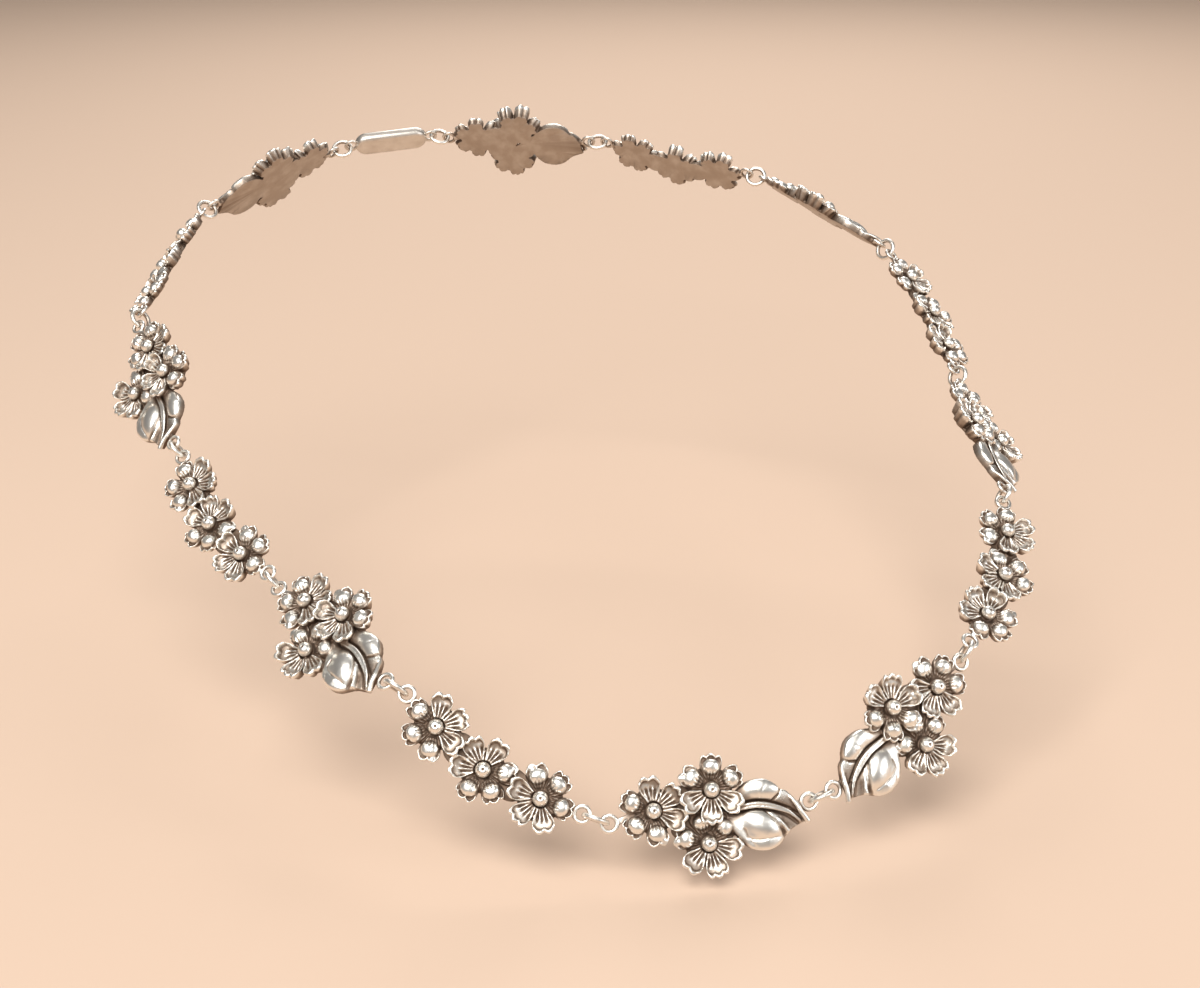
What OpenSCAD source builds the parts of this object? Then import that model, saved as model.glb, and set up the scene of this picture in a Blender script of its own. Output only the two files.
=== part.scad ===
// Link necklace of cast silver flower and leaf links, closed and hanging as worn.
// Frame: +Z up, the front of the loop faces -Y, millimetres, origin in the middle of the loop.

/* [Chain] */
// Length of a leaf link from joint to joint, mm
leaf_pitch = 29.8; // [29:0.1:33]
// Length of a flower link from joint to joint, mm
flower_pitch = 31.2; // [30.6:0.1:34]
// Length of the clasp from joint to joint, mm
clasp_pitch = 18.6; // [17:0.1:24]
// How deep the loop hangs, as a share of the worn shape
drape = 1; // [0.5:0.05:1.2]

/* [Flowers] */
// Flower width across opposite petal tips, mm
flower_size = 9.5; // [9.3:0.1:9.8]
// Height of a domed petal above the back, mm
petal_height = 1.8; // [1.4:0.1:2.2]
// Bead width in the middle of a flower, mm
bead_size = 2.2; // [1.6:0.1:2.6]

/* [Leaves] */
// Height of the puffed leaf lobes above the back, mm
leaf_height = 2.3; // [1.8:0.1:2.6]

/* [Rings] */
// Outer width of a jump ring, mm
ring_size = 3.9; // [3.8:0.05:4.2]
// Wire of a jump ring, mm
ring_wire = 0.7; // [0.6:0.05:0.8]
// Outer width of a link's end eye, mm
eye_size = 2.64; // [2.5:0.02:2.8]
// Wire of a link's end eye, mm
eye_wire = 0.58; // [0.5:0.02:0.62]

/* [Hidden] */
play = 0.13;                      // free gap between linked wires
back = -0.6;                      // back of the castings, below the level of the joints
silver = [0.72, 0.7, 0.67];
eye_radius = (eye_size - eye_wire) / 2;
reach = ring_size / 2 - ring_wire - play + eye_size / 2 - eye_wire;
flower_scale = flower_size / 9.5;
lobe_scale = leaf_height / 2.3;

// The worn loop: ANGLE from the front, RADIUS, HEIGHT, LEAN of the outer face above level.
ANGLE = 0; RADIUS = 1; HEIGHT = 2; LEAN = 3;
PATH = [
    [-180, 71.2, 28.5, 30],
    [-150, 78.7, 27.0, 36],
    [-120, 77.5, 15.7, 50],
    [ -90, 60.4, -3.1, 51],
    [ -60, 51.5, -14.1, 56],
    [ -30, 56.8, -17.7, 51],
    [   0, 62.6, -33.4, 36],
    [  30, 67.9, -29.2, 36],
    [  60, 68.0, -11.4, 68],
    [  90, 64.3, -3.0, 50],
    [ 120, 68.3, 14.8, 73],
    [ 150, 68.5, 24.9, 39],
];
start = 23.5;                     // angle of the jump ring in the middle of the front
STEPS = 7;                        // links to each side of it, leaf links first and last

// Flowers of a leaf link: X along the link, Y toward the neck, LIFT, TURN of the middle domed petal.
// The castings of the two sides of the chain differ.
X = 0; Y = 1; LIFT = 2; TURN = 3;
LEFT_FLOWERS = [[7.6, 0.4, 0, 214], [14.3, -4.5, 0, 102], [15.3, 2.3, 0.7, 84]];
RIGHT_FLOWERS = [[7.1, -0.6, 0, 207], [13.8, -5.1, 0, -102], [14.5, 1.9, 0.7, 50]];
// Flowers of a flower link, X from its middle.
ROW_FLOWERS = [[-8.2, -1.7, 0, 230], [0, -2.8, 0, -34], [8.2, -1.7, 0, 71]];

// Petals in casting order: height at the TIP, at its SHOULDERS, in the BELLY, at the belly's SIDES.
TIP = 0; SHOULDER = 1; BELLY = 2; SIDE = 3;
PETALS = [
    [0.60, 0.80, 1.80, 1.45],
    [0.70, 0.85, 1.50, 1.20],
    [1.85, 1.60, 1.00, 1.25],
    [1.50, 1.40, 0.85, 1.10],
    [1.50, 1.40, 0.85, 1.10],
    [0.60, 0.80, 1.80, 1.45],
];
// Columns of a petal: BEARING from its middle, RIM and BED radius, and which heights these have.
BEARING = 0; RIM = 1; BED = 2; RIM_Z = 3; BED_Z = 4;
COLUMNS = [[-20, 4.3, 3.25, SHOULDER, SIDE], [0, 4.75, 3.15, TIP, BELLY], [20, 4.3, 3.25, SHOULDER, SIDE]];
VALLEY = 2.2;                     // radius of the notch between two petals

// Leaf from base to tip: upper edge UX UY, midrib RX RY, lower edge LX LY,
// heights of the upper crown UZ, of the lower crown LZ and of the EDGE.
UX = 0; UY = 1; RX = 2; RY = 3; LX = 4; LY = 5; UZ = 6; LZ = 7; EDGE = 8;
LEAF = [
    [17.3, 0.6, 17.0, -0.8, 17.0, -2.2, 0.9, 0.9, 0.6],
    [19.2, 2.3, 19.0, -0.6, 18.5, -4.6, 1.7, 1.8, 0.6],
    [20.6, 2.9, 20.5, -0.4, 19.9, -5.8, 2.0, 2.2, 0.6],
    [22.4, 2.9, 22.2, -0.5, 22.0, -6.1, 1.9, 2.3, 0.6],
    [24.2, 2.0, 24.0, -0.8, 24.2, -5.3, 1.4, 1.7, 0.6],
    [25.9, 0.6, 26.2, -1.5, 26.4, -3.8, 0.9, 1.0, 0.8],
    [26.5, 0.0, 27.1, -1.8, 27.9, -3.2, 1.3, 1.3, 1.2],
];

// The loop as a smooth closed curve.
function unit(v) = v / norm(v);
function curve(p, s) = 0.5 * (2 * p[1] + (p[2] - p[0]) * s
    + (2 * p[0] - 5 * p[1] + 4 * p[2] - p[3]) * s * s
    + (3 * p[1] - p[0] - 3 * p[2] + p[3]) * s * s * s);
function along(column, t) = let (k = (t + 180) / 30, i = floor(k))
    curve([for (j = [-1:2]) PATH[(i + j + 24) % 12][column]], k - i);
function point(t, s) = let (r = s * along(RADIUS, t))
    [r * sin(t), -r * cos(t), drape * along(HEIGHT, t)];

// Joints: from the middle ring outward, each one link's length from the last.
function pitch(k) = k % 2 == 0 ? leaf_pitch : flower_pitch;
function next(t, way, s, d, lo = 0, hi = 60, n = 20) = let (m = (lo + hi) / 2)
    n == 0 ? t + way * m
    : norm(point(t + way * m, s) - point(t, s)) < d ? next(t, way, s, d, m, hi, n - 1)
    : next(t, way, s, d, lo, m, n - 1);
function walk(t, way, s, k = 0) = k == STEPS ? [t]
    : concat([t], walk(next(t, way, s, pitch(k)), way, s, k + 1));
// The gap left for the clasp, negative where the two ends pass each other.
function open_gap(s) = let (l = walk(start, -1, s)[STEPS] + 360, r = walk(start, 1, s)[STEPS])
    sign(l - r) * norm(point(l, s) - point(r, s));
function closing(lo = 0.7, hi = 1.4, n = 14) = let (m = (lo + hi) / 2)
    n == 0 ? m : open_gap(m) < clasp_pitch ? closing(m, hi, n - 1) : closing(lo, m, n - 1);
loop_scale = closing();
left = walk(start, -1, loop_scale);
right = walk(start, 1, loop_scale);

// A link's own frame at its first joint: along the link, across its face, out of its face.
function frame(a, b) = let (p = point(a, loop_scale), u = unit(point(b, loop_scale) - p),
    t = (a + b) / 2, lean = along(LEAN, t),
    out = [sin(t) * cos(lean), -cos(t) * cos(lean), sin(lean)],
    n = unit(out - (out * u) * u)) [u, cross(n, u), n, p];
function to_world(f, v) = f[3] + v[0] * f[0] + v[1] * f[1] + v[2] * f[2];
module in_frame(f)
    multmatrix([for (i = [0:2]) [f[0][i], f[1][i], f[2][i], f[3][i]]]) children();

// Eye centres of a link in its own frame: a leaf link's eyes toe out more than a flower link's.
LEAF_TOE = 20;
ROW_TOE = 9;
function eye_at(length, toe, far) =
    [far ? length - reach * cos(toe) : reach * cos(toe), -reach * sin(toe), 0];

// Frames of the links: k counts from the middle, way is -1 to the left and 1 to the right.
function leaf_frame(k, way) = way < 0 ? frame(left[k + 1], left[k]) : frame(right[k + 1], right[k]);
function row_frame(k, way) = way < 0 ? frame(left[k + 1], left[k]) : frame(right[k], right[k + 1]);
clasp_half = clasp_pitch / 2;
clasp_frame = frame(right[STEPS], left[STEPS] + 360);
function flip(v, way) = [v[0], -way * v[1], v[2]];
// Eye of link k beside joint k (near = true) or beside joint k + 1.
function link_eye(k, way, near) = k == STEPS
    ? to_world(clasp_frame, [way < 0 ? clasp_pitch - reach : reach, 0, 0])
    : k % 2 == 0 ? to_world(leaf_frame(k, way), flip(eye_at(leaf_pitch, LEAF_TOE, near), way))
    : to_world(row_frame(k, way), eye_at(flower_pitch, ROW_TOE, near == (way < 0)));
function link_face(k, way) = k == STEPS ? clasp_frame[2]
    : k % 2 == 0 ? leaf_frame(k, way)[2] : row_frame(k, way)[2];

// One casting of a flower: a flat back, six petals in casting order round a sunk hexagonal floor.
// Each petal has ten points: valley, rim (3), bed (3), floor corner, two on the back.
function polar(r, a, z) = [r * cos(a), r * sin(a), z];
module flower(lift) {
    high = petal_height / 1.8;
    function petal(q, a) = concat(
        [polar(flower_scale * VALLEY, a - 30, 0.6 * high + lift)],
        [for (c = COLUMNS) polar(flower_scale * c[RIM], a + c[BEARING], high * q[c[RIM_Z]] + lift)],
        [for (c = COLUMNS) polar(flower_scale * c[BED], a + c[BEARING], high * q[c[BED_Z]] + lift)],
        [polar(1.5, a - 30, 0.5 * high + lift)],
        [polar(0.9 * flower_scale * VALLEY, a - 30, 0.4 * lift), polar(4.3 * flower_scale, a, 0.4 * lift)]);
    points = [for (k = [0:5]) each petal(PETALS[k], 60 * k)];
    sides = [for (k = [0:5]) let (a = 10 * k, b = (10 * k + 10) % 60) each [
        [a + 4, a + 1, a], [a + 5, a + 2, a + 1], [a + 4, a + 5, a + 1], [a + 6, a + 3, a + 2],
        [a + 5, a + 6, a + 2], [a + 6, b, a + 3], [a + 7, a + 4, a], [a + 7, a + 5, a + 4],
        [a + 7, b + 7, a + 5], [b + 7, a + 6, a + 5], [b + 7, b, a + 6], [a, a + 1, a + 8],
        [a + 1, a + 9, a + 8], [a + 1, a + 2, a + 9], [a + 2, a + 3, a + 9], [a + 3, b + 8, a + 9],
        [a + 3, b, b + 8]]];
    polyhedron(points, concat(sides, [[for (k = [5:-1:0]) 10 * k + 7]],
        [[for (k = [0:5]) each [10 * k + 8, 10 * k + 9]]]));
    bead(lift);
}

// The round bead in the middle of a flower.
module bead(lift) {
    r = bead_size / 2;
    hull() {
        translate([0, 0, lift + 0.3]) cylinder(r1 = 0.85 * r, r2 = r, h = 1.3, $fn = 10);
        translate([0, 0, lift + 1.6]) cylinder(r1 = r, r2 = 0.55 * r, h = 0.9, $fn = 10);
    }
}

// A round wire eye lying in the plane of its link, soldered to the back with a short tail.
module eye(at) {
    translate(at) rotate_extrude($fn = 10) translate([eye_radius, 0]) circle(d = eye_wire, $fn = 5);
}
module tail(a, b) {
    hull() {
        translate([a[0], a[1], -0.1]) cube([0.1, 0.8, 0.6], center = true);
        translate([b[0], b[1], -0.1]) cube([0.1, 1.4, 0.6], center = true);
    }
}

// One casting of the given height from its back to its highest bead.
module cast_height(h) {
    translate([0, 0, back]) resize([0, 0, h]) translate([0, 0, -back]) union() children();
}

// The heart-shaped leaf: two puffed lobes, a raised midrib between grooves, a ridge across the tip.
module leaf(side) {
    rows = len(LEAF);
    n = 9;
    function mid(a, b, k) = a + k * (b - a);
    function row(q) = let (r = [q[RX], q[RY]], u = [q[UX], q[UY]], l = [q[LX], q[LY]],
        cu = mid(r, u, 0.55), cl = mid(r, l, 0.55), gu = mid(r, u, 0.16), gl = mid(r, l, 0.12))
        [[u[0], u[1], 0], [u[0], u[1], q[EDGE]], [cu[0], cu[1], q[UZ] * lobe_scale],
        [gu[0], gu[1], 0.7], [r[0], r[1], 1.15], [gl[0], gl[1], 0.7],
        [cl[0], cl[1], q[LZ] * lobe_scale], [l[0], l[1], q[EDGE]], [l[0], l[1], 0]];
    points = [for (q = LEAF) each [for (p = row(q)) [p[0], side * p[1], p[2]]]];
    skin = [for (i = [0:rows - 2], j = [0:n - 1]) let (a = n * i + j, b = n * i + (j + 1) % n)
        each [[a, b, b + n], [a, b + n, a + n]]];
    faces = concat([[for (j = [n - 1:-1:0]) j]], skin, [[for (j = [0:n - 1]) n * (rows - 1) + j]]);
    translate([0, 0, back])
        polyhedron(points, side < 0 ? faces : [for (f = faces) [for (i = [len(f) - 1:-1:0]) f[i]]]);
}

// Leaf link: three flowers in a triangle and a leaf, the leaf toward the middle of the chain.
module leaf_link(k, way) {
    side = -way;
    near = flip(eye_at(leaf_pitch, LEAF_TOE, false), way);
    far = flip(eye_at(leaf_pitch, LEAF_TOE, true), way);
    color(silver) in_frame(leaf_frame(k, way)) cast_height(3.2) {
        for (q = way < 0 ? LEFT_FLOWERS : RIGHT_FLOWERS)
            translate([q[X], side * q[Y], back]) rotate(q[TURN]) flower(q[LIFT]);
        leaf(side);
        eye(near);
        tail(near + [0.95, side * 0.15, 0], [5.2, side * -0.1]);
        eye(far);
        tail(far - [0.95, side * 0.1, 0], [25.4, side * -0.9]);
    }
}

// Flower link: three flowers in a row.
module flower_link(k, way) {
    mid = flower_pitch / 2;
    color(silver) in_frame(row_frame(k, way)) cast_height(2.5) {
        for (q = ROW_FLOWERS) translate([mid + q[X], q[Y], back]) rotate(q[TURN]) flower(q[LIFT]);
        for (s = [-1, 1]) {
            e = eye_at(flower_pitch, ROW_TOE, s > 0);
            eye(e);
            tail(e - s * [0.95, 0.1, 0], [mid + s * 10.2, -1]);
        }
    }
}

// Jump ring through the eyes of the two links that meet at it, standing across their faces.
module jump_ring(k, way) {
    a = k == 0 ? link_eye(0, -1, true) : link_eye(k - 1, way, false);
    b = k == 0 ? link_eye(0, 1, true) : link_eye(k, way, true);
    face = k == 0 ? link_face(0, -1) + link_face(0, 1) : link_face(k - 1, way) + link_face(k, way);
    u = unit(b - a);
    n = unit(face - (face * u) * u);
    color(silver) in_frame([u, n, cross(u, n), (a + b) / 2])
        rotate_extrude($fn = 36) translate([(ring_size - ring_wire) / 2, 0]) circle(d = ring_wire, $fn = 18);
}

// Plain clasp body, round-ended, with an eye at each end.
module clasp() {
    end = clasp_half - reach - eye_radius - 1.9;
    color(silver) in_frame(clasp_frame) translate([clasp_half, 0, 0]) {
        cube([2 * end, 4.4, 2.2], center = true);
        for (s = [-1, 1]) {
            translate([s * end, 0, 0]) cylinder(d = 4.4, h = 2.2, center = true, $fn = 36);
            translate([s * (clasp_half - reach), 0, 0])
                rotate_extrude($fn = 36) translate([eye_radius, 0]) circle(d = eye_wire, $fn = 18);
        }
    }
}

leaf_link(0, -1);  // leaf_link_left_1
leaf_link(2, -1);  // leaf_link_left_2
leaf_link(4, -1);  // leaf_link_left_3
leaf_link(6, -1);  // leaf_link_left_4
leaf_link(0, 1);  // leaf_link_right_1
leaf_link(2, 1);  // leaf_link_right_2
leaf_link(4, 1);  // leaf_link_right_3
leaf_link(6, 1);  // leaf_link_right_4
flower_link(1, -1);  // flower_link_left_1
flower_link(3, -1);  // flower_link_left_2
flower_link(5, -1);  // flower_link_left_3
flower_link(1, 1);  // flower_link_right_1
flower_link(3, 1);  // flower_link_right_2
flower_link(5, 1);  // flower_link_right_3
jump_ring(0, 1);  // jump_ring_centre
jump_ring(1, -1);  // jump_ring_left_1
jump_ring(2, -1);  // jump_ring_left_2
jump_ring(3, -1);  // jump_ring_left_3
jump_ring(4, -1);  // jump_ring_left_4
jump_ring(5, -1);  // jump_ring_left_5
jump_ring(6, -1);  // jump_ring_left_6
jump_ring(7, -1);  // jump_ring_left_7
jump_ring(1, 1);  // jump_ring_right_1
jump_ring(2, 1);  // jump_ring_right_2
jump_ring(3, 1);  // jump_ring_right_3
jump_ring(4, 1);  // jump_ring_right_4
jump_ring(5, 1);  // jump_ring_right_5
jump_ring(6, 1);  // jump_ring_right_6
jump_ring(7, 1);  // jump_ring_right_7
clasp();
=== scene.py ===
import math

import bmesh
import bpy
import numpy as np
from mathutils import Matrix, Vector
from mathutils.bvhtree import BVHTree


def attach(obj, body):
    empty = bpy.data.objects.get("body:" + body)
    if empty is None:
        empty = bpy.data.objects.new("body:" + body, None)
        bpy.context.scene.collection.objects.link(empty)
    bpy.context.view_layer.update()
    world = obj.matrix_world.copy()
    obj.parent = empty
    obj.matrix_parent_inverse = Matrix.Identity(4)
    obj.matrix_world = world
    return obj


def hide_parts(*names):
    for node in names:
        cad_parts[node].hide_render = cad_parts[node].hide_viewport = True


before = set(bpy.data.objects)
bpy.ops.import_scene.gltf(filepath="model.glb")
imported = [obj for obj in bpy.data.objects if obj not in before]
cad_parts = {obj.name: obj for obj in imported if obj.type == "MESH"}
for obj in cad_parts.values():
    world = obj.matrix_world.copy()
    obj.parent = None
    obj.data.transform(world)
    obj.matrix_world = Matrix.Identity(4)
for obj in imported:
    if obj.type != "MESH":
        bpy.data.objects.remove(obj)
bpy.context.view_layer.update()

# Camera. The photo was taken from close in front, a little above and to the viewer's left of the middle.
# The two shifts put the piece where it lies in the photo's frame.
mm = 0.001
az, el = math.radians(-6.4), math.radians(24.0)
distance, aside, aloft = 249.4 * mm, 4.54 * mm, -12.98 * mm
back = Vector((math.sin(az) * math.cos(el), -math.cos(az) * math.cos(el), math.sin(el)))
right = Vector((math.cos(az), math.sin(az), 0))
up = back.cross(right)
eye = back * distance + right * aside + up * aloft
cam = bpy.data.objects.new("Camera", bpy.data.cameras.new("Camera"))
cam.data.sensor_width = 36
cam.data.lens = 48
cam.data.clip_start = 0.01
cam.data.clip_end = 20
cam.matrix_world = Matrix.Translation(eye) @ Matrix((right, up, back)).transposed().to_4x4()
bpy.context.scene.collection.objects.link(cam)
bpy.context.scene.camera = cam

# Floor. A plain pale warm surface that the lowest link just clears, wide enough to fill the view.
floor_level, floor_middle, half_width = -0.041, 1.5, 3.0
bm = bmesh.new()
bmesh.ops.create_grid(bm, x_segments=1, y_segments=1, size=half_width,
                      matrix=Matrix.Translation((0, floor_middle, floor_level)))
me = bpy.data.meshes.new("Floor")
bm.to_mesh(me)
bm.free()
floor = bpy.data.objects.new("Floor", me)
bpy.context.scene.collection.objects.link(floor)
mat = bpy.data.materials.new("Floor_Paper")
mat.use_nodes = True
bsdf = mat.node_tree.nodes["Principled BSDF"]
bsdf.inputs["Base Color"].default_value = (0.63, 0.47, 0.36, 1)
bsdf.inputs["Roughness"].default_value = 0.9
bsdf.inputs["Specular IOR Level"].default_value = 0.2
me.materials.append(mat)

# Light. One broad soft key above the camera, a dim fill from the right and a rim light from behind; the
# rest of the room is dim, so that the bright silver has something dark to reflect.
for name, spot, size, watts, colour in (
    ("Key", (-0.25, -0.50, 0.75), 0.80, 12.0, (1.0, 0.98, 0.95)),
    ("Fill", (0.75, -0.45, 0.35), 0.50, 2.8, (0.97, 0.98, 1.0)),
    ("Rim", (0.15, 0.65, 0.55), 0.50, 3.6, (1.0, 0.98, 0.96)),
):
    light = bpy.data.lights.new(name, "AREA")
    light.size = size
    light.energy = watts
    light.color = colour
    lamp = bpy.data.objects.new(name, light)
    aim = Vector(spot).to_track_quat("Z", "Y").to_matrix().to_4x4()
    lamp.matrix_world = Matrix.Translation(spot) @ aim
    bpy.context.scene.collection.objects.link(lamp)
world = bpy.data.worlds.new("Studio")
world.use_nodes = True
world.node_tree.nodes["Background"].inputs["Color"].default_value = (0.95, 0.92, 0.90, 1)
world.node_tree.nodes["Background"].inputs["Strength"].default_value = 0.22
bpy.context.scene.world = world
bpy.context.scene.view_settings.view_transform = "Standard"

# The hanging loop. The closed line that the joints of the chain lie on, in millimetres. Its lengths are
# measured from joint to joint; the first joint is the jump ring at start_angle, near the middle in front.
leaf_length, row_length, clasp_length = 29.8, 31.2, 18.6
start_angle = 23.5
closing = 0.99986  # share by which the loop is drawn in, so that the clasp just closes it
lay = np.array([  # radius, height and lean of a link's face, every 30 degrees from the back by the left
    [71.2, 28.5, 30], [78.7, 27.0, 36], [77.5, 15.7, 50], [60.4, -3.1, 51],
    [51.5, -14.1, 56], [56.8, -17.7, 51], [62.6, -33.4, 36], [67.9, -29.2, 36],
    [68.0, -11.4, 68], [64.3, -3.0, 50], [68.3, 14.8, 73], [68.5, 24.9, 39],
])
RADIUS, HEIGHT, LEAN = 0, 1, 2


def smooth_line(p, s):
    """The place at share s from p[1] to p[2] on the smooth line through four places p."""
    return 0.5 * (2 * p[1] + (p[2] - p[0]) * s + (2 * p[0] - 5 * p[1] + 4 * p[2] - p[3]) * s ** 2
                  + (3 * p[1] - p[0] - 3 * p[2] + p[3]) * s ** 3)


def along(column, t):
    k = (t + 180) / 30
    i = math.floor(k)
    return smooth_line([lay[(i + j) % 12][column] for j in (-1, 0, 1, 2)], k - i)


def point(t):
    r, a = closing * along(RADIUS, t), math.radians(t)
    return Vector((r * math.sin(a), -r * math.cos(a), along(HEIGHT, t)))


def walk(way):
    """Angles of the joints from the first one outward, each found one link's length from the last."""
    angles = [start_angle]
    for k in range(7):
        low, high = 0.0, 60.0
        while high - low > 1e-5:
            m = (low + high) / 2
            run = (point(angles[-1] + way * m) - point(angles[-1])).length
            low, high = (m, high) if run < (row_length if k % 2 else leaf_length) else (low, m)
        angles.append(angles[-1] + way * (low + high) / 2)
    return angles


def link_frame(a, b):
    """A link's own frame at its first joint: along the link, across its face, out of its face."""
    p = point(a)
    u = (point(b) - p).normalized()
    t, lean = math.radians((a + b) / 2), math.radians(along(LEAN, (a + b) / 2))
    out = Vector((math.sin(t) * math.cos(lean), -math.cos(t) * math.cos(lean), math.sin(lean)))
    n = (out - out.dot(u) * u).normalized()
    m = Matrix((u, n.cross(u), n)).transposed().to_4x4()
    m.translation = p
    return m


LEFT, RIGHT = -1, 1
side_names = {LEFT: "left", RIGHT: "right"}
joints = {way: walk(way) for way in (LEFT, RIGHT)}
leaf_frames = {w: [link_frame(joints[w][k + 1], joints[w][k]) for k in (0, 2, 4, 6)] for w in joints}
row_frames = {w: [link_frame(*sorted((joints[w][k], joints[w][k + 1]))) for k in (1, 3, 5)] for w in joints}
clasp_frame = link_frame(joints[RIGHT][7], joints[LEFT][7] + 360)

# Silver. Solid sterling with a bright worn surface; the dark oxide stays in the recesses and thins out to a
# warm brown at their edges. The mesh carries it as an attribute, together with painted shade low down near
# the backs of the castings. Fine scratches and casting grain.
silver = bpy.data.materials.new("Oxidised_Silver")
silver.use_nodes = True
nodes, links = silver.node_tree.nodes, silver.node_tree.links
bsdf = nodes["Principled BSDF"]
bsdf.inputs["Metallic"].default_value = 1.0
coord = nodes.new("ShaderNodeTexCoord")
depth = nodes.new("ShaderNodeAttribute")
depth.attribute_name = "patina_and_shade"
blotch = nodes.new("ShaderNodeTexNoise")
blotch.inputs["Scale"].default_value = 420.0
blotch.inputs["Detail"].default_value = 4.0
links.new(coord.outputs["Object"], blotch.inputs["Vector"])
uneven = nodes.new("ShaderNodeMath")
uneven.operation = "MULTIPLY_ADD"
uneven.inputs[1].default_value = 0.16
uneven.inputs[2].default_value = -0.08
links.new(blotch.outputs["Fac"], uneven.inputs[0])
# The oxide in the recesses and the painted shade low down, with a little random unevenness.
oxide_shade_sum = nodes.new("ShaderNodeMath")
oxide_shade_sum.operation = "ADD"
links.new(depth.outputs["Fac"], oxide_shade_sum.inputs[0])
links.new(uneven.outputs[0], oxide_shade_sum.inputs[1])
tone = nodes.new("ShaderNodeValToRGB")
bright, dark = tone.color_ramp.elements
bright.position, bright.color = 0.03, (0.92, 0.89, 0.83, 1)
dark.position, dark.color = 0.55, (0.19, 0.135, 0.10, 1)
brown = tone.color_ramp.elements.new(0.25)
brown.color = (0.42, 0.35, 0.29, 1)
links.new(oxide_shade_sum.outputs[0], tone.inputs[0])
links.new(tone.outputs[0], bsdf.inputs["Base Color"])
rough = nodes.new("ShaderNodeMapRange")
rough.inputs["From Max"].default_value = 0.5
rough.inputs["To Min"].default_value = 0.33
rough.inputs["To Max"].default_value = 0.60
links.new(oxide_shade_sum.outputs[0], rough.inputs["Value"])
links.new(rough.outputs[0], bsdf.inputs["Roughness"])
grain = nodes.new("ShaderNodeTexNoise")
grain.inputs["Scale"].default_value = 1900.0
grain.inputs["Detail"].default_value = 6.0
links.new(coord.outputs["Object"], grain.inputs["Vector"])
bump = nodes.new("ShaderNodeBump")
bump.inputs["Strength"].default_value = 0.30
bump.inputs["Distance"].default_value = 0.00012
links.new(grain.outputs["Fac"], bump.inputs["Height"])
links.new(bump.outputs[0], bsdf.inputs["Normal"])

back_level = -0.6  # flat back of the castings, below the level of the joints, mm


def smooth(x, lo, hi):
    x = np.clip((x - lo) / (hi - lo), 0, 1)
    return x * x * (3 - 2 * x)


def sunk(co, cell=0.15, spread=0.8):
    """How far each point lies below the height of what is around it, which the polishing cloth rides on."""
    margin = 20
    x, y = np.floor((co[:, :2] - co[:, :2].min(0)) / cell).astype(int).T + margin
    size = (x.max() + margin + 1, y.max() + margin + 1)
    height, there = np.zeros(size), np.zeros(size)
    np.maximum.at(height, (x, y), co[:, 2] - back_level)
    there[x, y] = 1
    bell = np.exp(-0.5 * (np.arange(-16, 17) * cell / spread) ** 2)
    for axis in (0, 1):
        height, there = (np.apply_along_axis(np.convolve, axis, g, bell, "same") for g in (height, there))
    return height[x, y] / there[x, y] - (co[:, 2] - back_level)


def closed_in(co, no, polygons, reach, rays=14):
    """The share of the sky over each point that the casting itself shuts off within reach."""
    tree = BVHTree.FromPolygons([Vector(c) for c in co], polygons)
    side = np.cross(no, np.where(np.abs(no[:, 2:]) < 0.9, [[0.0, 0, 1]], [[1.0, 0, 0]]))
    side /= np.maximum(np.linalg.norm(side, axis=1), 1e-9)[:, None]
    over = np.cross(no, side)
    golden_turn = 2.399963
    start = co + no * 0.02
    shut = np.zeros(len(co))
    for k in range(rays):
        tilt = math.acos(math.sqrt(1 - (k + 0.5) / rays))
        turn = golden_turn * k
        ray = (no * math.cos(tilt) + side * math.sin(tilt) * math.cos(turn)
               + over * math.sin(tilt) * math.sin(turn))
        for i in range(len(co)):
            far = tree.ray_cast(start[i], ray[i], reach)[3]
            if far is not None:
                shut[i] += 1 - 0.5 * far / reach
    return shut / rays


def soot_and_shade(me, reach, ground):
    """Writes how deep each point lies in a recess, 0 open to 1 closed, from rays, its bend and its height, as
    oxide, and adds painted shade low down near the back.
    """
    n = len(me.vertices)
    co = np.empty(n * 3)
    no = np.empty(n * 3)
    me.vertices.foreach_get("co", co)
    me.vertices.foreach_get("normal", no)
    co, no = co.reshape(n, 3), no.reshape(n, 3)
    shut = closed_in(co, no, [p.vertices[:] for p in me.polygons], reach)
    edges = np.empty(len(me.edges) * 2, int)
    me.edges.foreach_get("vertices", edges)
    a, b = edges[::2], edges[1::2]
    count = np.bincount(edges, minlength=n)

    def around(x):
        return np.bincount(a, x[b], n) + np.bincount(b, x[a], n)

    mean = np.stack([around(co[:, k]) / count for k in range(3)], axis=1)
    length = np.bincount(edges, np.repeat(np.linalg.norm(co[a] - co[b], axis=1), 2), n) / count
    bend = np.einsum("ij,ij->i", mean - co, no) / length
    for _ in range(2):
        bend = (bend + around(bend)) / (count + 1)
        shut = (shut + around(shut)) / (count + 1)
    oxide_and_shade = shut + 1.6 * np.clip(bend, -0.12, 0.2) + 0.55 * np.clip(sunk(co), -0.15, 0.5) + ground(co)
    facing_back = no[:, 2] < -0.6
    # Painted shade: points low down near the back, such as the side walls and the plates in the gaps, are
    # darker the lower they sit.
    oxide_and_shade += 0.30 * (1 - smooth(co[:, 2], -0.5, 0.4)) * ~facing_back
    oxide_and_shade = np.maximum(oxide_and_shade, 0.24 * facing_back * (co[:, 2] < -0.4))
    me.attributes.new("patina_and_shade", "FLOAT", "POINT").data.foreach_set("value", np.clip(oxide_and_shade, 0, 1))


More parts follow.
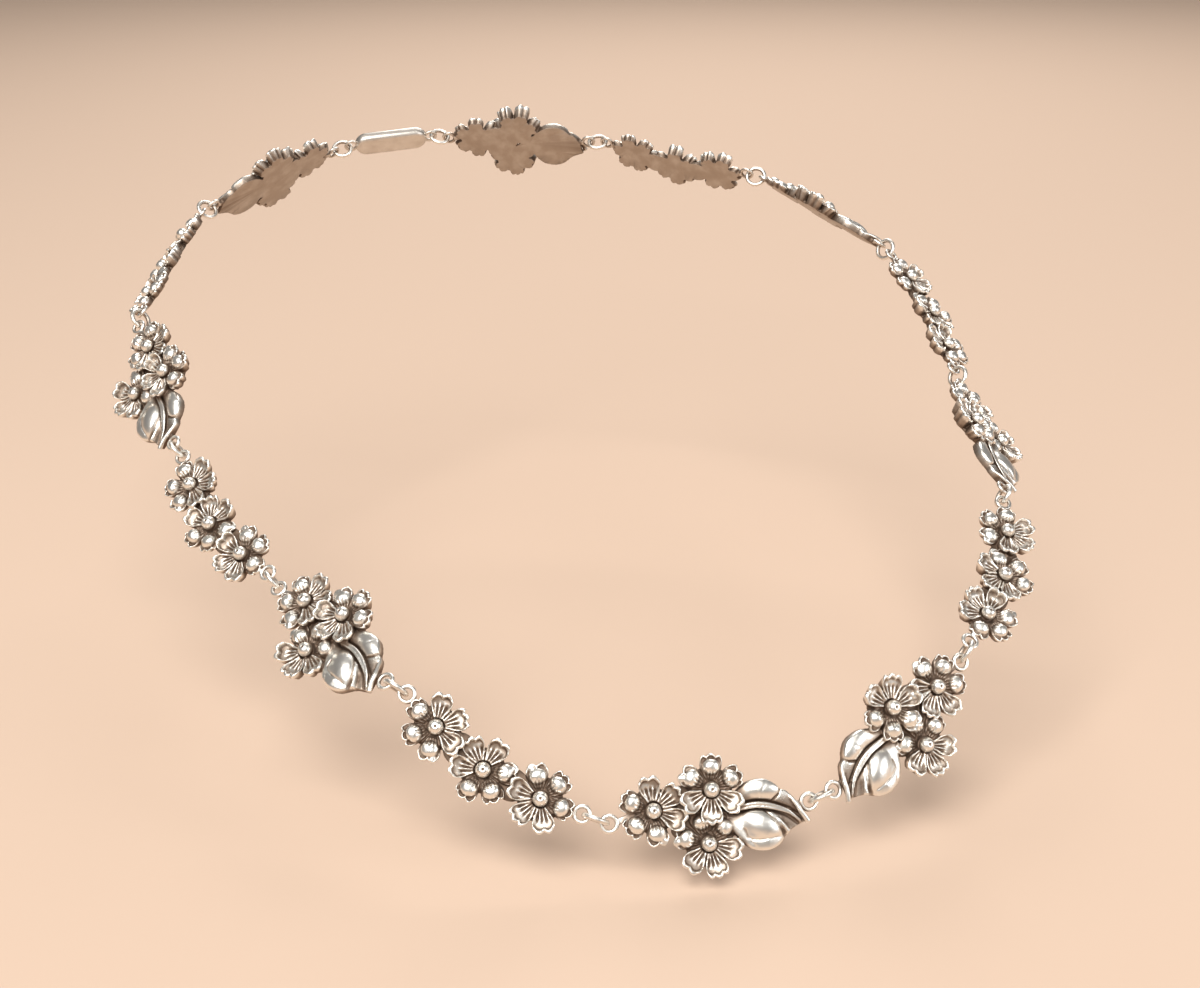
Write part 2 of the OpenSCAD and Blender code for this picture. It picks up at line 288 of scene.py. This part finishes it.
# Flower. Six petals round a sunk floor and a bead, all one casting. In casting order: two domed petals
# with a toothed skirt, a tall cup, two flatter cups with a thin raised rim, and one more domed petal;
# fine grooves fan out from the bead over each of them.
petals = np.array([  # dome, second lump, cup floor, rim at the tip, lobe spacing, lobe shift
    [0.94, 0.00, 0.00, 0.00, 17.0, 0.0],
    [0.74, 0.60, 0.00, 0.00, 20.0, 10.0],
    [0.00, 0.00, 1.02, 0.80, 21.0, 10.5],
    [0.00, 0.00, 0.92, 0.56, 16.0, 0.0],
    [0.00, 0.00, 0.92, 0.60, 19.0, 9.5],
    [1.00, 0.00, 0.00, 0.00, 18.0, -4.0],
])
petal_half = 29.0  # half a petal's width, degrees
hub = 0.7          # where the petals begin, under the bead
bead = 1.02        # radius of the bead


def edges_of(verts):
    return list(dict.fromkeys(e for v in verts for e in v.link_edges))


def petal_heights(theta, r, inset, wide, lobes, shape, turn):
    """Height of the petals' faces above the back, at each angle theta and radius r."""
    dome, lump, belly, lip, _, shift = shape
    phi = np.radians((theta + 30) % 60 - 30)
    q, w = r * np.cos(phi), r * np.sin(phi)
    fan = 0.5 - 0.5 * np.cos((np.degrees(phi) - 0.4 * shift) * np.radians(29))
    # domed petals: a fanned throat, a broad pillow with a ball on it, and a low lobed skirt with a rim
    pillow = np.sqrt(np.clip(1 - ((q - 2.90) / 1.60) ** 2 - (w / 1.52) ** 2, 0, 1))
    ball = np.sqrt(np.clip(1 - ((q - 2.92) / 1.06) ** 2 - (w / 1.18) ** 2, 0, 1))
    second = np.sqrt(np.clip(1 - ((q - 3.90) / 0.66) ** 2 - ((w - 0.60) / 0.62) ** 2, 0, 1))
    raised_edge = smooth(0.42 - inset, 0.0, 0.20) * smooth(r, 3.2, 3.9)
    skirt = 0.66 + 0.32 * pillow ** 0.7 + 0.42 * raised_edge + 0.16 * lobes * smooth(r, 3.6, 4.3)
    high = np.where(ball > 0, 0.88 + dome * ball ** 0.85, 0)
    domed = skirt + np.log1p(np.exp((high - skirt) * 14)) / 14
    domed = np.maximum(domed, 0.62 + lump * second)
    domed -= (0.34 * fan - 0.06) * smooth(r, 1.0, 1.4) * (1 - smooth(r, 2.1, 2.8))
    # cupped petals: a ribbed dish and a rim that swells towards the tip
    band = 0.33 + 0.30 * smooth(r, 3.0, 4.3)
    wall = smooth(band - inset + 0.12, 0.0, 0.28)
    cupped = belly + 0.20 * smooth(r, 2.4, 4.0) + lip * wall * (0.30 + 0.70 * smooth(r, 2.2, 4.0))
    cupped += 0.16 * lobes * smooth(r, 3.6, 4.3)
    cupped -= (0.36 * fan - 0.06) * (1 - wall) * (1 - smooth(r, 2.5, 3.4))
    z = np.where(dome > 0, domed, cupped)
    # both: a rounded rim, the unevenness of a hand-cut model, and the sunk floor and notches
    z -= 0.26 * (1 - smooth(inset, 0.0, 0.16)) ** 2 * smooth(r, 1.9, 2.4)
    z += 0.04 * np.sin(5.1 * r + turn) * np.cos(np.radians(7 * theta + turn)) * smooth(r, 1.2, 2.0)
    notch = smooth(wide, 25, 29.5) * (1 - smooth(r, 2.0, 2.3))
    z = 0.5 + (z - 0.5) * smooth(r, 0.98, 1.26) * (1 - notch)
    return np.maximum(z, 0.42)


def add_flower(bm, x, y, lift, turn):
    """A flower at x, y, raised by lift, with its first petal at the angle turn."""
    face = bmesh.ops.create_grid(bm, x_segments=40, y_segments=360, size=0.5)["verts"]
    uv = np.array([v.co for v in face]) + 0.5
    theta = 360 * uv[:, 1]
    phi = (theta + 30) % 60 - 30
    wide = np.abs(phi)
    shape = petals[((theta + 30) // 60).astype(int) % 6].T
    dome, gap, shift = shape[0], shape[4], shape[5]
    lobes = np.abs(np.cos(np.pi * (phi - shift) / gap)) ** 0.8 - 0.70
    round_off = (1 - np.clip(wide / petal_half, 0, 1) ** 4.5) ** 0.75
    rim = 2.0 + np.where(dome > 0, 2.56, 2.46) * round_off + 0.42 * lobes * (1 - smooth(wide, 14, 22))
    r = hub + (rim - hub) * uv[:, 0] ** 0.9
    inset = np.minimum(rim - r, np.radians(np.clip(petal_half - wide, 0, petal_half)) * r)
    z = petal_heights(theta, r, inset, wide, lobes, shape, turn) + lift
    for v, a, rr, zz in zip(face, np.radians(theta), r, z):
        v.co = (rr * math.cos(a), rr * math.sin(a), zz)
    bmesh.ops.remove_doubles(bm, verts=face, dist=1e-4)
    made = [v for v in face if v.is_valid]
    outer = [e for e in edges_of(made) if e.is_boundary and e.verts[0].co.xy.length > 1.2]
    skin = bmesh.ops.extrude_edge_only(bm, edges=outer)["geom"]
    low = [g for g in skin if isinstance(g, bmesh.types.BMVert)]
    drawn_in = 0.80 if lift else 0.87
    for v in low:
        v.co = (drawn_in * v.co.x, drawn_in * v.co.y, 0)
    made += low
    made += bmesh.ops.create_cone(bm, cap_ends=True, segments=40, radius1=3.0, radius2=2.9, depth=0.4,
                                  matrix=Matrix.Translation((0, 0, 0.2)))["verts"]
    bmesh.ops.holes_fill(bm, edges=[e for e in edges_of(made) if e.is_boundary], sides=0)
    ball = bmesh.ops.create_uvsphere(bm, u_segments=48, v_segments=32, radius=bead)["verts"]
    for v in ball:
        if v.co.z > 0:
            v.co.z -= 0.26 * math.exp(-(v.co.xy.length / 0.18) ** 2)
        v.co.z += 1.34 + lift
    to_place = Matrix.Translation((x, y, back_level)) @ Matrix.Rotation(math.radians(turn), 4, "Z")
    bmesh.ops.transform(bm, verts=made + ball, matrix=to_place)


def add_gap_shade_plates(bm, spots):
    """Low plates that fill the gaps between flowers that touch, at each x, y, with its radius; sitting low,
    they are painted dark as the shade in those gaps.
    """
    thick = 0.5
    for x, y, r in spots:
        bmesh.ops.create_cone(bm, cap_ends=True, segments=24, radius1=r, radius2=r - 0.1, depth=thick,
                              matrix=Matrix.Translation((x, y, back_level + thick / 2)))


def dimples(co, centres):
    """Oxide caught in the small drilled hollow on top of each bead."""
    return sum(0.34 * np.exp(-(np.hypot(co[:, 0] - x, co[:, 1] - y) / 0.20) ** 4) * (co[:, 2] > 1.2)
               for x, y in centres)


# Eye. A round wire loop in the plane of the link, soldered to its back with a short flat tail. The jump
# ring that passes through two of them leaves a little play on each side.
eye_width, eye_wire = 2.64, 0.58
ring_width, ring_wire = 3.9, 0.7
play = 0.13
eye_radius = (eye_width - eye_wire) / 2
reach = ring_width / 2 - ring_wire - play + eye_width / 2 - eye_wire  # from a joint to an eye's middle
leaf_toe, row_toe = (Vector((reach * math.cos(a), -reach * math.sin(a))) for a in np.radians((20, 9)))


def add_wire_ring(bm, radius, wire, sides, steps, middle=(0, 0)):
    """A closed ring of round wire lying flat; radius is that of the line in the middle of the wire."""
    before = set(bm.verts)
    upright = Matrix.Translation((radius, 0, 0)) @ Matrix.Rotation(math.pi / 2, 4, "X")
    section = bmesh.ops.create_circle(bm, segments=sides, radius=wire / 2, matrix=upright)["verts"]
    bmesh.ops.spin(bm, geom=section + edges_of(section), cent=(0, 0, 0), axis=(0, 0, 1),
                   angle=2 * math.pi, steps=steps, use_merge=True)
    ring = [v for v in bm.verts if v not in before]
    bmesh.ops.translate(bm, verts=ring, vec=(middle[0], middle[1], 0))


def add_eye(bm, at, to):
    """An eye with its middle at the place at, and its tail running to the place to."""
    add_wire_ring(bm, eye_radius, eye_wire, 14, 40, at)
    run = Vector((to[0] - at[0], to[1] - at[1]))
    tail = bmesh.ops.create_cube(bm, size=1.0)["verts"]
    for v in tail:
        far = v.co.x > 0
        v.co = (run.length if far else 0.98, v.co.y * (1.3 if far else 0.7), -0.12 + 0.56 * v.co.z)
    bearing = math.atan2(run.y, run.x)
    bmesh.ops.transform(bm, verts=tail, matrix=Matrix.Translation((at[0], at[1], 0))
                        @ Matrix.Rotation(bearing, 4, "Z"))


# Flower links. Three flowers in a row, one cast piece, an eye at each end; three links on each side. The
# shells are fused into one body and thinned, as fine as the relief asks for.
row_flowers = ((7.4, -1.7, 230), (15.6, -2.8, -34), (23.8, -1.7, 71))
fine = 0.10
soot_reach = 1.3


def drop_specks(me):
    """Keeps the casting and takes out the loose specks of a few faces that fusing and thinning leave."""
    bm = bmesh.new()
    bm.from_mesh(me)
    shells = []
    left = set(bm.verts)
    while left:
        shell = []
        rim = [left.pop()]
        while rim:
            v = rim.pop()
            shell.append(v)
            near = {e.other_vert(v) for e in v.link_edges} & left
            left -= near
            rim += near
        shells.append(shell)
    shells.sort(key=len)
    bmesh.ops.delete(bm, geom=[v for shell in shells[:-1] for v in shell], context="VERTS")
    bm.to_mesh(me)
    bm.free()


def cast(bm, name, faces, ground):
    """Fuses the loose shells in bm into one closed casting, in millimetres, soots it and paints shade low
    down near its back.
    """
    bmesh.ops.recalc_face_normals(bm, faces=bm.faces)
    me = bpy.data.meshes.new(name)
    bm.to_mesh(me)
    bm.free()
    ob = bpy.data.objects.new(name, me)
    bpy.context.scene.collection.objects.link(ob)
    fuse = ob.modifiers.new("Fuse", "REMESH")
    fuse.mode = "VOXEL"
    fuse.voxel_size = fine
    soften = ob.modifiers.new("Soften", "SMOOTH")
    soften.factor = 0.5
    soften.iterations = 1
    graph = bpy.context.evaluated_depsgraph_get()
    dense = sum(len(p.vertices) - 2 for p in ob.evaluated_get(graph).data.polygons)
    thin = ob.modifiers.new("Thin", "DECIMATE")
    thin.ratio = min(1.0, faces / dense)
    graph = bpy.context.evaluated_depsgraph_get()
    done = bpy.data.meshes.new_from_object(ob.evaluated_get(graph))
    bpy.data.objects.remove(ob)
    bpy.data.meshes.remove(me)
    drop_specks(done)
    done.name = name
    done.shade_smooth()
    soot_and_shade(done, soot_reach, ground)
    done.materials.clear()
    done.materials.append(silver)
    return done


def place(mesh, name, m, node):
    """Hangs a copy of a finished mesh in the frame m, in metres, in the place of its CAD node."""
    me = mesh.copy()
    me.transform(Matrix.Scale(mm, 4) @ m)
    me.name = name
    ob = bpy.data.objects.new(name, me)
    bpy.context.scene.collection.objects.link(ob)
    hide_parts(node)
    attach(ob, "root")


bm = bmesh.new()
for x, y, turn in row_flowers:
    add_flower(bm, x, y, 0, turn)
# Plates in the gaps between the flowers, painted dark as shade.
add_gap_shade_plates(bm, ((11.5, -2.25, 2.2), (19.7, -2.25, 2.2)))
add_eye(bm, row_toe, (5.4, -1.2))
add_eye(bm, (row_length - row_toe.x, row_toe.y), (25.8, -1.0))
row_link = cast(bm, "Row_Link", 62000, lambda co: dimples(co, [(x, y) for x, y, _ in row_flowers]))
for way, side in side_names.items():
    for i, m in enumerate(row_frames[way], 1):
        place(row_link, f"Flower_Link_{side.title()}_{i}", m, f"flower_link_{side}_{i}")

# Leaf links. Three flowers in a triangle, the upper one on top of the others, and a leaf toward the middle
# of the chain: two puffed lobes, a tip with a raised edge, a double midrib, and a ridge across the tip.
leaf_flowers = {  # x, y, lift and turn
    LEFT: ((7.6, 0.4, 0, 214), (14.3, -4.5, 0, 102), (15.3, 2.3, 0.7, 84)),
    RIGHT: ((7.1, -0.6, 0, 207), (13.8, -5.1, 0, -102), (14.5, 1.9, 0.7, 50)),
}
leaf_edge = np.array([  # upper edge x, y, midrib x, y, lower edge x, y, from the base to the tip
    [17.3, 0.6, 17.0, -0.8, 17.0, -2.2], [19.2, 2.3, 19.0, -0.5, 18.5, -4.6],
    [20.6, 2.9, 20.5, -0.3, 19.9, -5.8], [22.4, 2.95, 22.1, -0.45, 21.9, -6.15],
    [23.7, 2.2, 23.3, -0.8, 23.5, -5.6], [24.4, 1.45, 24.2, -1.2, 24.5, -4.6],
    [25.2, 1.10, 25.0, -1.6, 25.2, -3.95], [25.9, 0.2, 25.9, -2.0, 26.1, -3.5],
    [26.5, -0.8, 26.8, -2.0, 27.2, -3.05],
])
midrib = np.array([  # x, y, height and radius along the double rib in the middle of the leaf
    [18.0, -0.50, 1.20, 0.22], [20.5, -0.28, 1.32, 0.22], [22.1, -0.45, 1.30, 0.22],
    [23.6, -0.88, 1.22, 0.20], [25.0, -1.50, 1.12, 0.16], [25.8, -2.15, 1.02, 0.13],
    [26.6, -2.90, 0.90, 0.10],
])
hook = np.array([  # x, y, height and radius along the ridge that closes the tip
    [25.20, 0.85, 0.85, 0.16], [25.85, -0.05, 1.08, 0.27], [26.40, -0.90, 1.20, 0.33],
    [26.75, -1.70, 1.24, 0.34], [27.15, -2.35, 1.20, 0.35], [27.60, -3.10, 1.05, 0.38],
])
bar_places = 31


def curve(rows, s):
    """Places on a smooth line through rows, at s counted in rows from the first."""
    i = np.clip(np.floor(s).astype(int), 0, len(rows) - 2)
    return smooth_line([rows[np.clip(i + j, 0, len(rows) - 1)] for j in (-1, 0, 1, 2)], (s - i)[:, None])


def stroke(a, b, path, wide, shift=0.0):
    """How near each point lies to a drawn line, 1 on it, for a raised vein or a cut groove."""
    best = np.zeros_like(a)
    for (x0, y0), (x1, y1) in zip(path, path[1:]):
        dx, dy = x1 - x0, y1 - y0
        run = math.hypot(dx, dy)
        s = np.clip(((a - x0) * dx + (b - y0) * dy) / run ** 2, 0, 1)
        d = np.hypot(a - x0 - s * dx + shift * dy / run, b - y0 - s * dy - shift * dx / run)
        best = np.maximum(best, np.exp(-(d / wide) ** 2))
    return best


def puff(a, b, x, y, long, broad, turn):
    """Height of half an egg lying at x, y, 1 at its top."""
    c, s = math.cos(math.radians(turn)), math.sin(math.radians(turn))
    u, v = (a - x) * c + (b - y) * s, (b - y) * c - (a - x) * s
    return np.clip(1 - (u / long) ** 2 - (v / broad) ** 2, 0, 1) ** 0.5


def rolled(w, full, crest, half):
    """A pillow across one half of the leaf: w is 0 at the midrib and 1 at the edge."""
    return 0.72 + full * np.sqrt(np.clip(1 - ((w - crest) / half) ** 2, 0, 1)) ** 0.8


def melt(one, other, sharp):
    """The higher of two surfaces, with a soft hollow where they meet."""
    return np.logaddexp(sharp * one, sharp * other) / sharp


def upper_half(a, b, w):
    """A long lobe with a soft crease across it, and a smaller one beyond the notch."""
    full = np.interp(a, [17.5, 20.0, 22.0, 23.6, 25.2, 26.6], [0.45, 0.80, 0.90, 0.60, 0.46, 0.18])
    z = melt(rolled(w, full, 0.65, 0.47), 0.60 + 1.15 * puff(a, b, 21.9, 1.68, 2.85, 1.42, -8), 9) - 0.03
    z -= 0.05 * stroke(a, b, ((21.3, 0.6), (21.8, 1.4), (22.6, 2.7)), 0.10)
    return z - 0.36 * stroke(a, b, ((23.2, 0.1), (24.0, 0.8), (24.5, 1.7)), 0.12)


def lower_half(a, b, w):
    """A full lobe rolled over a wider lip, a bright fold that runs down beside it, and a flat tip."""
    full = np.interp(a, [17.5, 20.0, 22.0, 23.4, 24.4, 26.6], [0.45, 0.92, 1.05, 0.72, 0.20, 0.08])
    z = melt(rolled(w, full, 0.60, 0.50), 0.60 + 1.56 * puff(a, b, 21.45, -2.85, 2.95, 2.05, -30), 7) - 0.04
    z -= 0.17 * stroke(a, b, ((19.1, -3.2), (19.4, -4.2), (20.1, -4.6), (21.2, -4.7), (23.4, -4.55)), 0.14)
    z -= 0.12 * stroke(a, b, ((19.8, -4.8), (20.4, -5.7)), 0.12)
    z -= 0.34 * stroke(a, b, ((21.9, -1.0), (23.2, -2.4), (24.1, -3.9), (24.3, -4.8)), 0.13)
    fold = 0.62 * stroke(a, b, ((22.9, -1.5), (23.8, -2.5), (24.6, -3.6), (24.9, -4.2)), 0.38)
    return np.maximum(z, 0.72 + fold)


def add_bar(bm, path, sides=12):
    """A closed round bar through the places in path, each x, y, z and its radius there."""
    points = [Vector(q[:3]) for q in path]
    loops, made = [], []
    for i, (at, q) in enumerate(zip(points, path)):
        way = (points[min(i + 1, len(points) - 1)] - points[max(i - 1, 0)]).to_track_quat("Z", "Y")
        section = bmesh.ops.create_circle(
            bm, cap_ends=i in (0, len(points) - 1), segments=sides, radius=q[3],
            matrix=Matrix.Translation(at) @ way.to_matrix().to_4x4())["verts"]
        made += section
        loops.append(edges_of(section))
    for one, two in zip(loops, loops[1:]):
        bmesh.ops.bridge_loops(bm, edges=one + two)
    return made


def add_leaf(bm, side):
    """The leaf, from its root between the flowers; side is -1 for the mirrored casting."""
    made = bmesh.ops.create_grid(bm, x_segments=120, y_segments=110, size=0.5)["verts"]
    uv = np.array([v.co for v in made]) + 0.5
    row = curve(leaf_edge, uv[:, 0] * (len(leaf_edge) - 1))
    t = 2 * uv[:, 1] - 1
    w = np.abs(t)
    edge = np.where(t[:, None] > 0, row[:, 0:2], row[:, 4:6])
    a, b = (row[:, 2:4] + w[:, None] * (edge - row[:, 2:4])).T
    stipple = 0.05 * np.sin(17.0 * a) * np.sin(15.0 * b) * smooth(a, 23.6, 24.4)
    z = np.where(t > 0, upper_half(a, b, w), lower_half(a, b, w)) - stipple
    for shift in (-0.46, 0.46):
        z -= 0.25 * stroke(a, b, midrib[:, :2], 0.16, shift)
    z -= 0.20 * (1 - smooth(1 - w, 0.0, 0.06)) ** 2 * (1 - smooth(a, 25, 26))
    for v, aa, bb, zz in zip(made, a, b, z):
        v.co = (aa, side * bb, max(zz, 0.45))
    outer = [e for e in edges_of(made) if e.is_boundary]
    skin = bmesh.ops.extrude_edge_only(bm, edges=outer)["geom"]
    low = [g for g in skin if isinstance(g, bmesh.types.BMVert)]
    for v in low:
        v.co.z = 0.0
    made += low
    bmesh.ops.holes_fill(bm, edges=[e for e in edges_of(low) if e.is_boundary], sides=0)
    for shift, thick in ((1, 1.0), (-1, 0.8)):
        rib = midrib * (1, 1, 1, thick)
        rib[:, 1] += shift * midrib[:, 3]
        made += add_bar(bm, curve(rib, np.linspace(0, len(rib) - 1, bar_places)) * (1, side, 1, 1))
    made += add_bar(bm, curve(hook, np.linspace(0, len(hook) - 1, bar_places)) * (1, side, 1, 1))
    bmesh.ops.translate(bm, verts=made, vec=(0, 0, back_level))


def leaf_dull(co, side, flowers):
    """Oxide on the flat panels near the tip, in a band along the midrib, and in the beads' hollows."""
    a, b, z = co[:, 0], side * co[:, 1], co[:, 2]
    dull = 0.36 * puff(a, b, 25.0, -0.4, 2.0, 1.0, -28) + 0.32 * puff(a, b, 25.1, -2.7, 1.7, 1.2, -25)
    dull *= 1 - smooth(z, 0.56, 0.72)
    band = np.maximum(0.32 * stroke(a, b, midrib[:, :2], 0.36, 0.72),
                      0.28 * stroke(a, b, midrib[:, :2], 0.32, -0.68))
    dull = np.maximum(dull, band * (1 - smooth(z, 0.40, 0.65)))
    return dull + dimples(co, [(x, side * y) for x, y, _, _ in flowers])


for way, side_name in side_names.items():
    side = -way
    flowers = leaf_flowers[way]
    bm = bmesh.new()
    for x, y, lift, turn in flowers:
        add_flower(bm, x, side * y, lift, turn)
    (x1, y1, _, _), (x2, y2, _, _), (x3, y3, _, _) = flowers
    # Plates in the gaps between the flowers and at the leaf's root, painted dark as shade.
    gaps = (((x1 + x2 + x3) / 3, (y1 + y2 + y3) / 3, 2.2), ((x1 + x3) / 2 - 0.1, (y1 + y3) / 2 + 0.6, 1.3),
            ((x1 + x2) / 2, (y1 + y2) / 2 - 0.3, 1.3), (x3 + 1.6, (y2 + y3) / 2 - 1.2, 1.9))
    add_gap_shade_plates(bm, [(x, side * y, r) for x, y, r in gaps])
    add_leaf(bm, side)
    add_eye(bm, (leaf_toe.x, side * leaf_toe.y), (5.2, side * -0.1))
    add_eye(bm, (leaf_length - leaf_toe.x, side * leaf_toe.y), (25.0, side * -0.9))
    leaf_link = cast(bm, f"Leaf_Link_{side_name}", 70000, lambda co: leaf_dull(co, side, flowers))
    for i, m in enumerate(leaf_frames[way], 1):
        place(leaf_link, f"Leaf_Link_{side_name.title()}_{i}", m, f"leaf_link_{side_name}_{i}")

# Jump rings. Plain round silver wire, each through the eyes of the two links that meet at it. The oxide
# is worn off the outside and stays a little on the inside.
bm = bmesh.new()
add_wire_ring(bm, (ring_width - ring_wire) / 2, ring_wire, 16, 56)
bmesh.ops.recalc_face_normals(bm, faces=bm.faces)
ring = bpy.data.meshes.new("Ring")
bm.to_mesh(ring)
bm.free()
ring.shade_smooth()
inner = [max(0.0, -v.normal.xy.dot(v.co.xy) / v.co.xy.length) for v in ring.vertices]
ring.attributes.new("patina_and_shade", "FLOAT", "POINT").data.foreach_set("value", [0.06 + 0.22 * q for q in inner])
ring.materials.append(silver)
eyes, faces = {}, {}
for way in (LEFT, RIGHT):
    for k in range(7):
        is_leaf = k % 2 == 0
        m = (leaf_frames if is_leaf else row_frames)[way][k // 2]
        length, toe = (leaf_length, leaf_toe) if is_leaf else (row_length, row_toe)
        for near in (True, False):
            at_far_end = near if is_leaf else near == (way == LEFT)
            y = -way * toe.y if is_leaf else toe.y
            eyes[way, k, near] = m @ Vector((length - toe.x if at_far_end else toe.x, y, 0))
        faces[way, k] = m.col[2].xyz
    eyes[way, 7, True] = clasp_frame @ Vector((clasp_length - reach if way == LEFT else reach, 0, 0))
    faces[way, 7] = clasp_frame.col[2].xyz
pairs = [("centre", (LEFT, 0, True), (RIGHT, 0, True))]
pairs += [(f"{side}_{k}", (way, k - 1, False), (way, k, True))
          for way, side in side_names.items() for k in range(1, 8)]
for name, a, b in pairs:
    u = (eyes[b] - eyes[a]).normalized()
    n = faces[a[:2]] + faces[b[:2]]
    n = (n - n.dot(u) * u).normalized()
    m = Matrix((u, n, u.cross(n))).transposed().to_4x4()
    m.translation = (eyes[a] + eyes[b]) / 2
    place(ring, f"Jump_Ring_{name.title()}", m, f"jump_ring_{name}")

# Clasp. It doesn't show in the photo, so it is a plain round-ended silver bar with an eye at each end,
# its edges rounded over, and a little duller than the rest.
clasp_half = clasp_length / 2
half_thick, end_radius, edge_round = 1.1, 2.2, 0.90
bm = bmesh.new()
end_middle = clasp_half - reach - eye_radius - 1.9
outline = bmesh.ops.create_circle(bm, cap_ends=True, segments=48, radius=end_radius)["verts"]
for v in outline:
    v.co.x += math.copysign(end_middle, v.co.x) if abs(v.co.x) > 1e-6 else 0
    v.co.z = -half_thick
top = bmesh.ops.extrude_face_region(bm, geom=list(bm.faces))["geom"]
bmesh.ops.translate(bm, verts=[g for g in top if isinstance(g, bmesh.types.BMVert)],
                    vec=(0, 0, 2 * half_thick))
bmesh.ops.recalc_face_normals(bm, faces=bm.faces)
hard = [e for e in bm.edges if e.is_manifold and e.calc_face_angle() > 1.0]
bmesh.ops.bevel(bm, geom=hard, affect="EDGES", offset=edge_round, segments=8, profile=0.5, material=-1)
for end in (-1, 1):
    add_wire_ring(bm, eye_radius, eye_wire, 14, 40, (end * (clasp_half - reach), 0))
bmesh.ops.recalc_face_normals(bm, faces=bm.faces)
clasp = bpy.data.meshes.new("Clasp")
bm.to_mesh(clasp)
bm.free()
clasp.shade_smooth()
clasp.attributes.new("patina_and_shade", "FLOAT", "POINT").data.foreach_set("value", [0.14] * len(clasp.vertices))
clasp.materials.append(silver)
place(clasp, "Clasp", clasp_frame @ Matrix.Translation((clasp_half, 0, 0)), "clasp")
